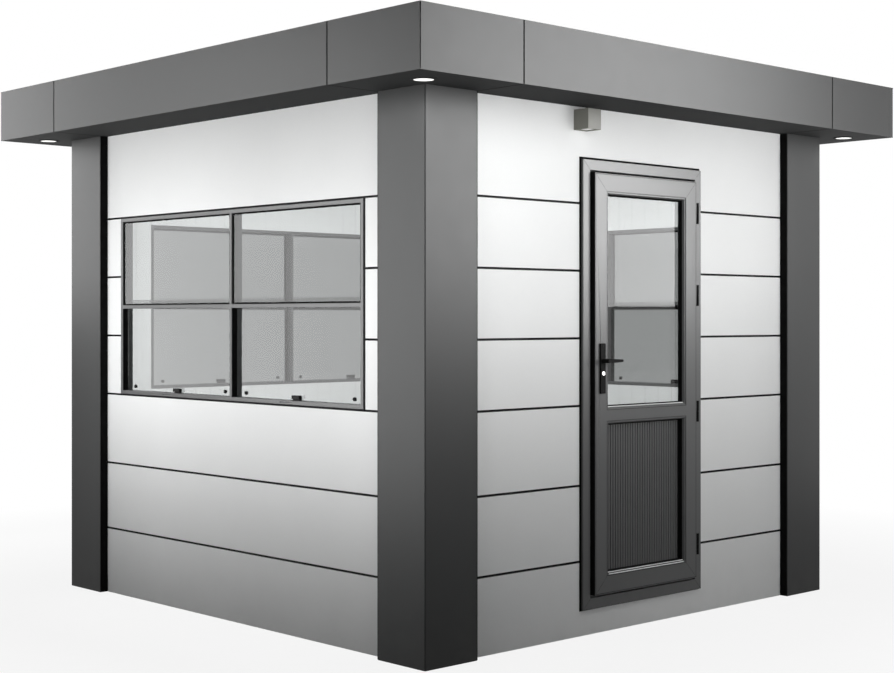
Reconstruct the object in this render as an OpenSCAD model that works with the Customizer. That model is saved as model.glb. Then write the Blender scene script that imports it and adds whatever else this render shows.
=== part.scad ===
// Security guard booth: a square insulated cabin on a steel base frame, with dark corner posts,
// panelled white walls, sash windows on three sides, a glazed door on the fourth and a flat roof
// whose deep fascia overhangs all round. Millimetres, +Z up, origin on the ground at the centre.
// The door wall faces -Y.

/* [Body] */
// Width over the corner posts, along X
body_w = 2900; // [2300:10:4200]
// Depth over the corner posts, along Y
body_d = 2900; // [2300:10:4200]
// Height of the wall over the door frame, up to the eaves
header_h = 242; // [150:1:500]
// Face width of each leg of a corner post
post_w = 306; // [200:1:350]
// How far a corner post stands out from the cladding
post_proud = 45; // [20:1:80]
// Bevel along the outer edges of a corner post
post_bevel = 4; // [1:1:10]

/* [Walls] */
// Thickness of the insulated wall core with its inner lining
core_t = 38; // [25:1:80]
// Thickness of the outer cladding panels
cladding_t = 22; // [10:1:40]
// Width of the open joint between cladding panels
joint_w = 10; // [4:1:16]
// Height of the lowest row of panels
row_1_h = 346; // [250:1:400]
// Height of the second row of panels
row_2_h = 352; // [250:1:400]
// Height of the third row of panels, up to the window sills
row_3_h = 370; // [250:1:420]
// Height of each of the three rows beside the windows
window_row_h = 313; // [280:1:330]

/* [Base] */
// Height of the steel base frame
base_h = 122; // [80:1:160]
// Width of the perimeter members of the base frame
base_rim_w = 100; // [60:1:160]
// Width of each floor joist
joist_w = 60; // [40:1:100]
// Number of floor joists between the perimeter members
joist_count = 4; // [2:1:6]
// Thickness of the floor deck
floor_t = 30; // [18:1:40]

/* [Roof] */
// Overhang of the fascia beyond the corner posts
overhang = 278; // [200:1:450]
// Height of the fascia face
fascia_h = 269; // [220:1:400]
// Sheet thickness of the fascia and soffit cassettes
sheet_t = 4; // [2:1:8]
// Width of the flat coping on top of the fascia
coping_w = 60; // [40:1:120]
// Width of the open joint between cassettes
cassette_joint = 6; // [3:1:12]
// Width of the mitre joint at a fascia's corner
mitre_w = 4; // [2:1:8]
// Depth of that mitre joint along the diagonal
mitre_d = 12; // [6:1:20]
// Thickness of the insulated roof deck
deck_t = 183; // [120:1:190]
// Thickness of the ceiling panel
ceiling_t = 40; // [20:1:60]

/* [Lights] */
// Diameter of a downlight lens
lens_d = 87; // [60:1:110]
// Width of the bezel round a downlight lens
bezel_rim = 12; // [9:1:20]
// Thickness of the tube that holds a downlight in the soffit
bezel_tube_t = 5; // [3:1:8]
// Depth of a bezel below the soffit
bezel_drop = 4; // [2:1:10]
// Distance of a downlight's centre from both faces of its post
downlight_out = 90; // [70:1:130]
// Width of the wall light
lamp_w = 89; // [60:1:120]
// Depth of the wall light
lamp_d = 90; // [60:1:120]
// Height of the wall light
lamp_h = 95; // [60:1:100]
// Clear height between the wall light and the eaves
lamp_drop = 16; // [10:1:60]
// Rim left round the lenses of the wall light
lamp_rim = 6; // [3:1:15]
// Depth of the pocket that holds each lens of the wall light
lamp_pocket = 14; // [8:1:30]
// Thickness of each lens of the wall light
lamp_lens_t = 8; // [4:1:8]

/* [Windows] */
// Width of the cladding left between a window frame and the corner posts
window_margin = 143; // [40:1:400]
// Face width of the frame's bars
bar_w = 18; // [12:1:40]
// How far the window frame stands out from the cladding
window_proud = 5; // [0:1:20]
// Clear height of the opening below the transom
lower_pane_h = 433; // [300:1:520]
// Depth of the transom, which only holds the upper panes
transom_d = 24; // [22:1:26]
// Thickness of the glass in the windows
glass_t = 6; // [4:1:8]
// Width of the black gasket round an upper pane
gasket_w = 8; // [4:1:14]
// Setback of the gasket from the frame's face
gasket_setback = 5; // [2:1:8]
// Thickness of the gasket in front of the glass
gasket_t = 3; // [2:1:5]
// Setback of the lower sash glass from the frame's face
sash_setback = 31; // [30:1:45]
// How far the lower sash glass laps up behind the transom
sash_lap = 46; // [25:1:80]
// Thickness of the black channels that guide a sash
channel_t = 3; // [2:1:5]
// Width of a sash latch
latch_w = 57; // [40:1:80]
// Height of a sash latch
latch_h = 24; // [15:1:40]
// Thickness of a sash latch
latch_t = 18; // [10:1:24]
// Height of the finger grip cut under a latch
grip_h = 8; // [4:1:12]
// Depth of that finger grip
grip_d = 9; // [4:1:10]
// Width of a drain slot in the sill
drain_w = 86; // [40:1:120]
// Height of a drain slot
drain_h = 4; // [3:1:8]
// Depth of a drain slot
drain_d = 5; // [3:1:10]
// Distance of a drain slot from the middle of its pane
drain_x = 57; // [0:1:120]

/* [Door frame] */
// Width over the door frame
door_w = 876; // [780:1:1000]
// Height over the door frame
door_h = 2089; // [2000:1:2180]
// Width of the jambs and the head, from the outside of the frame to the clear doorway
jamb_w = 72; // [60:1:90]
// Height of the threshold, measured the same way
threshold_h = 76; // [60:1:100]
// Face width of the jambs and the head outside the rebate that the leaf closes into
face_w = 48; // [36:1:56]
// Depth of that rebate
rebate_d = 20; // [10:1:30]
// How far the door frame stands out from the cladding
door_proud = 20; // [10:1:35]
// Open joint between the door frame and the cladding
door_joint = 6; // [3:1:12]
// Width of the stop that the door closes against
stop_w = 8; // [5:1:12]
// Depth of that stop
stop_d = 20; // [10:1:22]

/* [Door leaf] */
// Lap of the leaf's outer flange over the floor of the rebate
leaf_lap = 12; // [8:1:20]
// Thickness of the leaf's flange
flange_t = 35; // [20:1:40]
// Running gap between the flange and the floor of the rebate
flange_gap = 5; // [5:1:8]
// Thickness of the leaf behind its flange
leaf_body_t = 25; // [20:1:34]
// Running gap between the leaf's body and the frame
leaf_gap = 8; // [8:1:12]
// Face width of the stiles
stile_w = 86; // [80:1:110]
// Face width of the top rail
top_rail_h = 86; // [70:1:120]
// Face width of the middle rail
mid_rail_h = 58; // [50:1:120]
// Face width of the bottom rail
bottom_rail_h = 87; // [70:1:160]
// Height of the clear opening of the lower panel
panel_h = 717; // [500:1:900]
// Width of the glazing beads at the glass
bead_w = 17; // [16:1:30]
// Width of a bead's flat face
bead_face_w = 6; // [3:1:10]
// Width of the slope next to that face
bead_slope_w = 4; // [2:1:6]
// Depth of that slope
bead_slope_d = 7; // [3:1:12]
// Width of the sealing lip at the foot of a bead
lip_w = 4; // [4:1:10]
// Thickness of that lip
lip_t = 4; // [2:1:6]
// Setback of the glass and the panel from the leaf's face
glazing_setback = 34; // [30:1:35]
// Setback of the beads' outer edge from the leaf's face
bead_setback = 3; // [1:1:6]
// Thickness of the sealed glass unit
unit_t = 24; // [20:1:24]
// Pitch of the ribs on the lower panel
rib_pitch = 18; // [12:1:40]
// Height of the ribs on the lower panel
rib_h = 4; // [3:1:8]
// Flat width on top of a rib
rib_top_w = 7; // [4:1:11]

/* [Door furniture] */
// Radius of the hinge knuckles
knuckle_r = 8; // [7:1:9]
// Diameter of the hinge pins
hinge_pin_d = 8; // [6:1:9]
// Height of a hinge
hinge_h = 104; // [80:1:140]
// Clear gap between the leaf's edge and the knuckles
knuckle_gap = 4; // [3:1:5]
// Width of the neck that carries a hinge's frame half
hinge_neck_w = 16; // [10:1:24]
// Height of the lowest hinge's centre above the foot of the leaf
hinge_1_rise = 166; // [120:1:250]
// Height of the second hinge's centre above the foot of the leaf
hinge_2_rise = 826; // [600:1:900]
// Distance of the third hinge's centre below the top of the leaf
hinge_3_drop = 564; // [450:1:700]
// Distance of the highest hinge's centre below the top of the leaf
hinge_4_drop = 157; // [120:1:250]
// Height of the lever's spindle above the foot of the leaf
spindle_z = 1089; // [900:1:1150]
// Distance of the spindle from the leaf's lock edge
backset = 47; // [40:1:60]
// Width of a handle plate
plate_w = 33; // [30:1:46]
// Height of a handle plate
plate_h = 234; // [180:1:260]
// Thickness of a handle plate
plate_t = 9; // [6:1:10]
// Height of the spindle above the middle of its plates
spindle_rise = 35; // [0:1:50]
// Diameter of the spindle
spindle_d = 8; // [6:1:10]
// Diameter of the lever's neck
neck_d = 20; // [16:1:24]
// Clear space between a plate and its lever
lever_standoff = 28; // [25:1:40]
// Length of a lever from its spindle to its tip
lever_len = 98; // [90:1:140]
// Height of a lever at its root
lever_root_h = 20; // [16:1:24]
// Height of a lever at its tip
lever_tip_h = 12; // [8:1:16]
// Thickness of a lever
lever_t = 12; // [8:1:16]
// Diameter of the lock cylinder
lock_d = 19; // [15:1:22]
// Distance of the lock cylinder below the spindle
lock_drop = 58; // [50:1:72]
// How far the lock cylinder stands out from its plates
lock_proud = 2; // [1:1:6]

/* [Clearances] */
// Radial clearance of a pin, a spindle or a cylinder in its bore
bore_clear = 0.3; // [0.2:0.1:0.6]
// End clearance of a part that turns against its neighbour
turn_clear = 0.8; // [0.5:0.1:0.9]

/* [Hidden] */
$fn = 48;
// Overlap that lets a cutting shape pass right through a face
cut = 1;

// Plan sizes, as half widths from the centre in X and Y
half = [body_w / 2, body_d / 2];
clad_half = [half.x - post_proud, half.y - post_proud];
core_half = [clad_half.x - cladding_t, clad_half.y - cladding_t];
wall_t = cladding_t + core_t;
room_half = [clad_half.x - wall_t, clad_half.y - wall_t];
roof_half = [half.x + overhang, half.y + overhang];
soffit_w = overhang + post_proud + cladding_t;
post_edge = [half.x - post_w, half.y - post_w];

// Heights
eaves_z = base_h + door_h + header_h;
deck_z = eaves_z + sheet_t;
deck_top = deck_z + deck_t;
roof_top = eaves_z + fascia_h;
row_z = [
  0,
  row_1_h,
  row_1_h + row_2_h,
  row_1_h + row_2_h + row_3_h,
  row_1_h + row_2_h + row_3_h + window_row_h,
  row_1_h + row_2_h + row_3_h + 2 * window_row_h,
  row_1_h + row_2_h + row_3_h + 3 * window_row_h,
  eaves_z
];
top_row = len(row_z) - 2;
sill_row = 3;

// Windows: the frame stands between the joint under it and the joint over it
window_z = row_z[sill_row] + joint_w / 2;
window_h = 3 * window_row_h - joint_w;
window_d = window_proud + wall_t;
side_window_w = 2 * (post_edge.y - window_margin);
back_window_w = 2 * (post_edge.x - window_margin);
transom_z = window_z + bar_w + lower_pane_h;
upper_pane_z = transom_z + bar_w;
upper_pane_h = window_z + window_h - bar_w - upper_pane_z;
pane_y = gasket_setback + gasket_t - window_proud;
sash_y = sash_setback - window_proud;
function pane_w(w) = (w - 3 * bar_w) / 2;
function pane_x(w) = [-(pane_w(w) + bar_w) / 2, (pane_w(w) + bar_w) / 2];

// Door: depths run from the cladding face inwards, so what stands out is negative
door_z = base_h;
frame_y = -door_proud;
frame_d = door_proud + wall_t;
leaf_w = door_w - 2 * (jamb_w - leaf_lap);
leaf_z = door_z + threshold_h - leaf_lap;
leaf_h = door_h - threshold_h - jamb_w + 2 * leaf_lap;
leaf_y = frame_y + rebate_d - flange_gap - flange_t;
body_y = leaf_y + flange_t;
leaf_back_y = body_y + leaf_body_t;
body_inset = leaf_lap + leaf_gap;
opening_w = leaf_w - 2 * stile_w;
panel_z = leaf_z + bottom_rail_h;
glass_z = panel_z + panel_h + mid_rail_h;
glass_h = leaf_z + leaf_h - top_rail_h - glass_z;
glazing_y = leaf_y + glazing_setback;

// Hinges and handle
hinge_x = leaf_w / 2 + knuckle_gap + knuckle_r;
hinge_y = leaf_y + knuckle_r / 2;
hinge_heights = [hinge_1_rise, hinge_2_rise, leaf_h - hinge_3_drop, leaf_h - hinge_4_drop];
spindle_x = backset - leaf_w / 2;
handle_z = leaf_z + spindle_z;
lever_y = leaf_y - plate_t - lever_standoff - lever_t;

// Wall light
lamp_x = -door_w / 2;
lamp_z = eaves_z - lamp_drop - lamp_h;

// Colours
dark_grey = "#4d4f50";
frame_grey = "#77797a";
panel_white = "#eef0ef";
lining_white = "#e4e5e3";
black = "#161616";
glass_tint = [0.75, 0.8, 0.8, 0.5];
lamp_grey = "#8d8d84";
light_white = "#ffffff";
deck_grey = "#2c2d2e";
steel_grey = "#8a8d8f";

// Placing on the walls: X runs to the right seen from outside, Y runs inwards from the cladding face.
// $window_w is the width of the window in that wall.
module on_front() {
  translate([0, -clad_half.y, 0]) children();
}

module on_left() {
  $window_w = side_window_w;
  translate([-clad_half.x, 0, 0]) rotate([0, 0, -90]) children();
}

module on_back() {
  $window_w = back_window_w;
  translate([0, clad_half.y, 0]) rotate([0, 0, 180]) children();
}

module on_right() {
  $window_w = side_window_w;
  translate([clad_half.x, 0, 0]) rotate([0, 0, 90]) children();
}

module on_window_walls() {
  on_left() children();
  on_back() children();
  on_right() children();
}

// Shared shapes
// A box centred on X that starts at the given depth and height
module wall_box(w, y, d, z, h) {
  translate([-w / 2, y, z]) cube([w, d, h]);
}

// A rectangle with round corners, centred on the origin
module round_rect(w, h, r) {
  square([w - 2 * r, h], center = true);
  square([w, h - 2 * r], center = true);
  for (x = [-1, 1], y = [-1, 1]) translate([x * (w / 2 - r), y * (h / 2 - r)]) circle(r);
}

// A round bar along Y from one depth to another
module y_bar(d, y0, y1) {
  translate([0, y1, 0]) rotate([90, 0, 0]) cylinder(d = d, h = y1 - y0);
}

// A bar along X with the section [depth, inward], cut at both ends to meet bars of other widths
module mitred_bar(length, section, w, start_w, end_w) {
  reach = max([for (p = section) p.y]) + cut;
  front = min([for (p = section) p.x]) - cut;
  back = max([for (p = section) p.x]) + cut;
  intersection() {
    rotate([90, 0, 90]) linear_extrude(length) polygon(section);
    translate([0, back, 0]) rotate([90, 0, 0]) linear_extrude(back - front)
      polygon([[0, 0], [length, 0], [length - reach * end_w / w, reach], [reach * start_w / w, reach]]);
  }
}

// Base and floor
module base_frame() {
  rim = [2 * core_half.x, 2 * core_half.y];
  inner = [rim.x - 2 * base_rim_w, rim.y - 2 * base_rim_w];
  pitch = (inner.x + joist_w) / (joist_count + 1);
  color(steel_grey) {
    linear_extrude(base_h) difference() {
      square(rim, center = true);
      square(inner, center = true);
    }
    for (i = [1 : joist_count])
      translate([-inner.x / 2 - joist_w + i * pitch, -inner.y / 2 - cut, 0])
        cube([joist_w, inner.y + 2 * cut, base_h]);
  }
}

module floor_deck() {
  color(deck_grey) translate([-room_half.x, -room_half.y, base_h])
    cube([2 * room_half.x, 2 * room_half.y, floor_t]);
}

// One corner post: an L that wraps the corner of the walls, with bevelled outer edges
module corner_post(side_x, side_y) {
  leg = post_proud + cladding_t;
  color(dark_grey) mirror([side_x < 0 ? 1 : 0, 0, 0]) mirror([0, side_y < 0 ? 1 : 0, 0])
    translate([half.x, half.y, 0]) linear_extrude(eaves_z) polygon([
      [-post_bevel, 0], [0, -post_bevel],
      [0, post_bevel - post_w], [-post_bevel, -post_w],
      [-leg, -post_w], [-leg, -leg], [-post_w, -leg],
      [-post_w, -post_bevel], [post_bevel - post_w, 0]
    ]);
}

// Wall cores
module front_wall_side(side) {
  w = core_half.x - door_w / 2;
  color(lining_white) on_front() translate([side * (door_w / 2 + w / 2), 0, 0])
    wall_box(w, cladding_t, core_t, base_h, deck_z - base_h);
}

module front_wall_header() {
  z = door_z + door_h;
  color(lining_white) on_front() wall_box(door_w, cladding_t, core_t, z, deck_z - z);
}

module window_wall(w) {
  color(lining_white) difference() {
    wall_box(w, cladding_t, core_t, base_h, deck_z - base_h);
    wall_box($window_w, cladding_t - cut, core_t + 2 * cut, window_z, window_h);
  }
}

// Cladding: rows of panels with open joints, cut back round the opening in the wall
module cladding(w, opening_w, opening_z, opening_h) {
  color(panel_white) difference() {
    for (i = [0 : top_row]) {
      z0 = row_z[i] + (i == 0 ? 0 : joint_w / 2);
      z1 = row_z[i + 1] - (i == top_row ? 0 : joint_w / 2);
      wall_box(w, 0, cladding_t, z0, z1 - z0);
    }
    wall_box(opening_w, -cut, cladding_t + 2 * cut, opening_z, opening_h);
  }
}

module front_cladding() {
  on_front() cladding(2 * post_edge.x, door_w + 2 * door_joint,
                      door_z - door_joint, door_h + 2 * door_joint);
}

module window_cladding(w) {
  cladding(w, $window_w + 2 * joint_w, row_z[sill_row], 3 * window_row_h);
}

// Windows
module in_panes() {
  $pane_w = pane_w($window_w);
  for (x = pane_x($window_w)) translate([x, 0, 0]) children();
}

module window_frame() {
  front = -window_proud;
  color(frame_grey) difference() {
    wall_box($window_w, front, window_d, window_z, window_h);
    in_panes() {
      wall_box($pane_w, front - cut, window_d + 2 * cut, upper_pane_z, upper_pane_h);
      wall_box($pane_w, front - cut, window_d + 2 * cut, window_z + bar_w, lower_pane_h);
      wall_box($pane_w, front + transom_d, window_d, transom_z - cut, bar_w + 2 * cut);
      translate([-drain_x, 0, 0])
        wall_box(drain_w, front - cut, drain_d + cut, window_z + (bar_w - drain_h) / 2, drain_h);
    }
  }
}

module fixed_panes() {
  color(glass_tint) on_window_walls() in_panes()
    wall_box($pane_w, pane_y, glass_t, upper_pane_z, upper_pane_h);
}

module sash_panes() {
  color(glass_tint) on_window_walls() in_panes()
    wall_box($pane_w, sash_y, glass_t, window_z + bar_w, lower_pane_h + sash_lap);
}

module window_gaskets() {
  color(black) on_window_walls() in_panes() difference() {
    wall_box($pane_w, pane_y - gasket_t, gasket_t, upper_pane_z, upper_pane_h);
    wall_box($pane_w - 2 * gasket_w, pane_y - gasket_t - cut, gasket_t + 2 * cut,
             upper_pane_z + gasket_w, upper_pane_h - 2 * gasket_w);
  }
}

module sash_channels() {
  front = gasket_t - window_proud;
  color(black) on_window_walls() in_panes() for (side = [-1, 1])
    translate([side * ($pane_w - channel_t) / 2, 0, 0])
      wall_box(channel_t, front, sash_y - front, window_z + bar_w, lower_pane_h);
}

module sash_latches() {
  front = sash_y - latch_t;
  color(black) on_window_walls() in_panes() difference() {
    wall_box(latch_w, front, latch_t, window_z + bar_w, latch_h);
    wall_box(latch_w + 2 * cut, front - cut, grip_d + cut, window_z + bar_w - cut, grip_h + cut);
  }
}

// Door frame: four mitred members, each with a rebate in front and a stop at the back
function frame_section(w) = [
  [frame_y, 0], [frame_y, face_w * w / jamb_w],
  [frame_y + rebate_d, face_w * w / jamb_w], [frame_y + rebate_d, w],
  [frame_y + frame_d - stop_d, w],
  [frame_y + frame_d - stop_d, w + stop_w], [frame_y + frame_d, w + stop_w],
  [frame_y + frame_d, 0]
];

module door_jamb() {
  mitred_bar(door_h, frame_section(jamb_w), jamb_w, jamb_w, threshold_h);
}

module door_lock_jamb() {
  color(frame_grey) on_front() translate([-door_w / 2, 0, door_z + door_h]) rotate([0, 90, 0]) door_jamb();
}

module door_hinge_jamb() {
  color(frame_grey) on_front() mirror([1, 0, 0])
    translate([-door_w / 2, 0, door_z + door_h]) rotate([0, 90, 0]) door_jamb();
}

module door_head() {
  color(frame_grey) on_front() translate([door_w / 2, 0, door_z + door_h]) rotate([0, 180, 0])
    mitred_bar(door_w, frame_section(jamb_w), jamb_w, jamb_w, jamb_w);
}

module door_threshold() {
  color(frame_grey) on_front() translate([-door_w / 2, 0, door_z])
    mitred_bar(door_w, frame_section(threshold_h), threshold_h, jamb_w, jamb_w);
}

// Door leaf: a flanged frame with a glazed opening over a panelled one
module door_leaf_frame() {
  body_w_in = leaf_w - 2 * body_inset;
  body_h_in = leaf_h - 2 * body_inset;
  depth = leaf_back_y - leaf_y;
  color(frame_grey) on_front() difference() {
    union() {
      wall_box(leaf_w, leaf_y, flange_t, leaf_z, leaf_h);
      wall_box(body_w_in, leaf_y, depth, leaf_z + body_inset, body_h_in);
    }
    wall_box(opening_w, leaf_y - cut, depth + 2 * cut, panel_z, panel_h);
    wall_box(opening_w, leaf_y - cut, depth + 2 * cut, glass_z, glass_h);
    translate([spindle_x, 0, handle_z]) y_bar(spindle_d + 2 * bore_clear, leaf_y - cut, leaf_back_y + cut);
    translate([spindle_x, 0, handle_z - lock_drop])
      y_bar(lock_d + 2 * bore_clear, leaf_y - cut, leaf_back_y + cut);
  }
}

module door_glass() {
  color(glass_tint) on_front() wall_box(opening_w, glazing_y, unit_t, glass_z, glass_h);
}

// The lower panel: a plate with upright ribs of trapezoid section, spread evenly across it
module door_ribbed_panel() {
  plate_y = glazing_y + rib_h;
  field_w = opening_w - 2 * bead_w;
  ribs = floor(field_w / rib_pitch);
  slope = rib_h / 2;
  color(dark_grey) on_front() translate([0, 0, panel_z]) {
    wall_box(opening_w, plate_y, unit_t - rib_h, 0, panel_h);
    for (i = [0 : ribs - 1]) translate([(i - (ribs - 1) / 2) * rib_pitch, plate_y + slope / 2, 0])
      linear_extrude(panel_h) polygon([
        [-rib_top_w / 2, -rib_h - slope / 2], [rib_top_w / 2, -rib_h - slope / 2],
        [rib_top_w / 2 + slope, 0], [-rib_top_w / 2 - slope, 0]
      ]);
  }
}

// Moulded glazing beads round one opening of the leaf, with a sealing lip against the glass
module bead_ring(z, h) {
  face_y = leaf_y + bead_setback;
  section = [
    [face_y, 0], [face_y, bead_face_w],
    [face_y + bead_slope_d, bead_face_w + bead_slope_w],
    [glazing_y - lip_t, bead_w - lip_w], [glazing_y - lip_t, bead_w],
    [glazing_y, bead_w], [glazing_y, 0]
  ];
  translate([-opening_w / 2, 0, z]) {
    mitred_bar(opening_w, section, bead_w, bead_w, bead_w);
    translate([opening_w, 0, 0]) rotate([0, -90, 0]) mitred_bar(h, section, bead_w, bead_w, bead_w);
    translate([opening_w, 0, h]) rotate([0, 180, 0]) mitred_bar(opening_w, section, bead_w, bead_w, bead_w);
    translate([0, 0, h]) rotate([0, 90, 0]) mitred_bar(h, section, bead_w, bead_w, bead_w);
  }
}

module door_glazing_beads() {
  color(frame_grey) on_front() {
    bead_ring(panel_z, panel_h);
    bead_ring(glass_z, glass_h);
  }
}

// Lift-off hinges: the lower half with its pin stands on the frame, the upper half turns on the pin
module at_hinges() {
  for (z = hinge_heights) translate([hinge_x, hinge_y, leaf_z + z - hinge_h / 2]) children();
}

module hinge_frame_halves() {
  half_h = hinge_h / 2;
  color(black) on_front() at_hinges() {
    cylinder(r = knuckle_r, h = half_h - turn_clear);
    cylinder(d = hinge_pin_d, h = hinge_h - knuckle_r);
    translate([knuckle_gap, 0, 0]) wall_box(hinge_neck_w, 0, frame_y - hinge_y, 0, half_h - turn_clear);
  }
}

module hinge_leaf_halves() {
  half_h = hinge_h / 2;
  color(black) on_front() at_hinges() translate([0, 0, half_h]) difference() {
    union() {
      cylinder(r = knuckle_r, h = half_h);
      translate([-knuckle_gap - knuckle_r, -knuckle_r / 2, 0])
        cube([knuckle_gap + knuckle_r, knuckle_r, half_h]);
    }
    translate([0, 0, -cut]) cylinder(d = hinge_pin_d + 2 * bore_clear, h = half_h - knuckle_r + 2 * cut);
  }
}

// Handle set
module handle_plate(y) {
  translate([spindle_x, y + plate_t, handle_z - spindle_rise]) difference() {
    rotate([90, 0, 0]) linear_extrude(plate_t) round_rect(plate_w, plate_h, plate_t / 2);
    translate([0, 0, spindle_rise]) y_bar(spindle_d + 2 * bore_clear, -plate_t - cut, cut);
    translate([0, 0, spindle_rise - lock_drop]) y_bar(lock_d + 2 * bore_clear, -plate_t - cut, cut);
  }
}

module handle_plates() {
  color(black) on_front() {
    handle_plate(leaf_y - plate_t);
    handle_plate(leaf_back_y);
  }
}

// A lever grip: a bar that tapers to a round tip, from its spindle towards the hinges
module lever_grip() {
  rotate([90, 0, 0]) translate([0, 0, -lever_t]) linear_extrude(lever_t) {
    circle(d = lever_root_h);
    polygon([
      [0, -lever_root_h / 2], [lever_len - lever_tip_h / 2, -lever_tip_h / 2],
      [lever_len - lever_tip_h / 2, lever_tip_h / 2], [0, lever_root_h / 2]
    ]);
    translate([lever_len - lever_tip_h / 2, 0]) circle(d = lever_tip_h);
  }
}

module lever_handle() {
  inner_plate_y = leaf_back_y + plate_t;
  inner_y = inner_plate_y + lever_standoff;
  color(black) on_front() translate([spindle_x, 0, handle_z]) {
    y_bar(spindle_d, lever_y, inner_y + lever_t);
    y_bar(neck_d, lever_y, leaf_y - plate_t - turn_clear);
    y_bar(neck_d, inner_plate_y + turn_clear, inner_y + lever_t);
    translate([0, lever_y, 0]) lever_grip();
    translate([0, inner_y, 0]) lever_grip();
  }
}

module lock_cylinder() {
  color("#d8d8d8") on_front() translate([spindle_x, 0, handle_z - lock_drop])
    y_bar(lock_d, leaf_y - plate_t - lock_proud, leaf_back_y + plate_t + lock_proud);
}

// Roof
module ceiling_panel() {
  color(lining_white) translate([-room_half.x, -room_half.y, deck_z - ceiling_t])
    cube([2 * room_half.x, 2 * room_half.y, ceiling_t]);
}

module roof_deck() {
  w = 2 * (roof_half.x - sheet_t);
  d = 2 * (roof_half.y - sheet_t);
  color(deck_grey) translate([-w / 2, -d / 2, deck_z]) cube([w, d, deck_t]);
}

// A plan shape for one roof corner: a band along both eaves, between two setbacks from the roof's edge
module corner_band(outer, inner) {
  start = [post_edge.x + cassette_joint / 2, post_edge.y + cassette_joint / 2];
  difference() {
    translate(start) square([roof_half.x - outer - start.x, roof_half.y - outer - start.y]);
    translate([start.x - cut, start.y - cut])
      square([roof_half.x - inner - start.x + cut, roof_half.y - inner - start.y + cut]);
  }
}

// One folded corner cassette: soffit, fascia, coping and the leg that stands on the deck
module fascia_corner() {
  difference() {
    union() {
      translate([0, 0, eaves_z]) linear_extrude(sheet_t) corner_band(0, soffit_w);
      translate([0, 0, eaves_z]) linear_extrude(fascia_h) corner_band(0, sheet_t);
      translate([0, 0, roof_top - sheet_t]) linear_extrude(sheet_t) corner_band(0, coping_w);
      translate([0, 0, deck_top]) linear_extrude(roof_top - deck_top)
        corner_band(coping_w - sheet_t, coping_w);
    }
    translate([half.x + downlight_out, half.y + downlight_out, eaves_z - cut])
      cylinder(d = lens_d + 2 * (bezel_tube_t + bore_clear), h = sheet_t + 2 * cut);
    translate([roof_half.x, roof_half.y, eaves_z + sheet_t]) rotate([0, 0, 45])
      translate([-mitre_d, -mitre_w / 2, 0]) cube([2 * mitre_d, mitre_w, fascia_h - 2 * sheet_t]);
  }
}

module fascia_corners() {
  color(dark_grey) for (x = [0, 1], y = [0, 1]) mirror([x, 0, 0]) mirror([0, y, 0]) fascia_corner();
}

// One straight cassette along an eave, from joint to joint
module fascia_run(w, edge_y) {
  l = w - cassette_joint;
  translate([0, -edge_y, 0]) {
    wall_box(l, 0, soffit_w, eaves_z, sheet_t);
    wall_box(l, 0, sheet_t, eaves_z, fascia_h);
    wall_box(l, 0, coping_w, roof_top - sheet_t, sheet_t);
    wall_box(l, coping_w - sheet_t, sheet_t, deck_top, roof_top - deck_top);
  }
}

module fascia_runs() {
  color(dark_grey) {
    for (a = [0, 180]) rotate([0, 0, a]) fascia_run(2 * post_edge.x, roof_half.y);
    for (a = [90, 270]) rotate([0, 0, a]) fascia_run(2 * post_edge.y, roof_half.x);
  }
}

// Lights
module at_downlights() {
  for (x = [-1, 1], y = [-1, 1])
    translate([x * (half.x + downlight_out), y * (half.y + downlight_out), eaves_z]) children();
}

module downlight_bezels() {
  lens_r = lens_d / 2;
  rim_r = lens_r + bezel_rim;
  tube_r = lens_r + bezel_tube_t;
  color(dark_grey) at_downlights() rotate_extrude() polygon([
    [lens_r, sheet_t], [lens_r, -bezel_drop],
    [rim_r - bezel_drop, -bezel_drop], [rim_r, 0],
    [tube_r, 0], [tube_r, sheet_t]
  ]);
}

module downlight_lenses() {
  color(light_white) at_downlights() translate([0, 0, -bezel_drop / 2])
    cylinder(d = lens_d - 2 * bore_clear, h = bezel_drop / 2 + sheet_t);
}

// The wall light: a box with a lens let into its top and its bottom
module lamp_lens_space(z, h) {
  wall_box(lamp_w - 2 * lamp_rim, -lamp_d + lamp_rim, lamp_d - 2 * lamp_rim, z, h);
}

module wall_light_housing() {
  color(lamp_grey) on_front() translate([lamp_x, 0, lamp_z]) difference() {
    wall_box(lamp_w, -lamp_d, lamp_d, 0, lamp_h);
    lamp_lens_space(-cut, lamp_pocket + cut);
    lamp_lens_space(lamp_h - lamp_pocket, lamp_pocket + cut);
  }
}

module wall_light_lenses() {
  color(light_white) on_front() translate([lamp_x, 0, lamp_z]) {
    lamp_lens_space(lamp_pocket - lamp_lens_t, lamp_lens_t);
    lamp_lens_space(lamp_h - lamp_pocket, lamp_lens_t);
  }
}

base_frame();
floor_deck();
corner_post(-1, -1);  // corner_post_front_left
corner_post(1, -1);  // corner_post_front_right
corner_post(-1, 1);  // corner_post_back_left
corner_post(1, 1);  // corner_post_back_right
front_wall_side(-1);  // front_wall_left
front_wall_side(1);  // front_wall_right
front_wall_header();
on_left() window_wall(2 * room_half.y);  // left_wall
on_back() window_wall(2 * core_half.x);  // back_wall
on_right() window_wall(2 * room_half.y);  // right_wall
front_cladding();
on_left() window_cladding(2 * post_edge.y);  // left_cladding
on_back() window_cladding(2 * post_edge.x);  // back_cladding
on_right() window_cladding(2 * post_edge.y);  // right_cladding
on_left() window_frame();  // left_window_frame
on_back() window_frame();  // back_window_frame
on_right() window_frame();  // right_window_frame
fixed_panes();
sash_panes();
window_gaskets();
sash_channels();
sash_latches();
door_lock_jamb();
door_hinge_jamb();
door_head();
door_threshold();
door_leaf_frame();
door_glass();
door_ribbed_panel();
door_glazing_beads();
hinge_frame_halves();
hinge_leaf_halves();
handle_plates();
lever_handle();
lock_cylinder();
ceiling_panel();
roof_deck();
fascia_corners();
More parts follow.
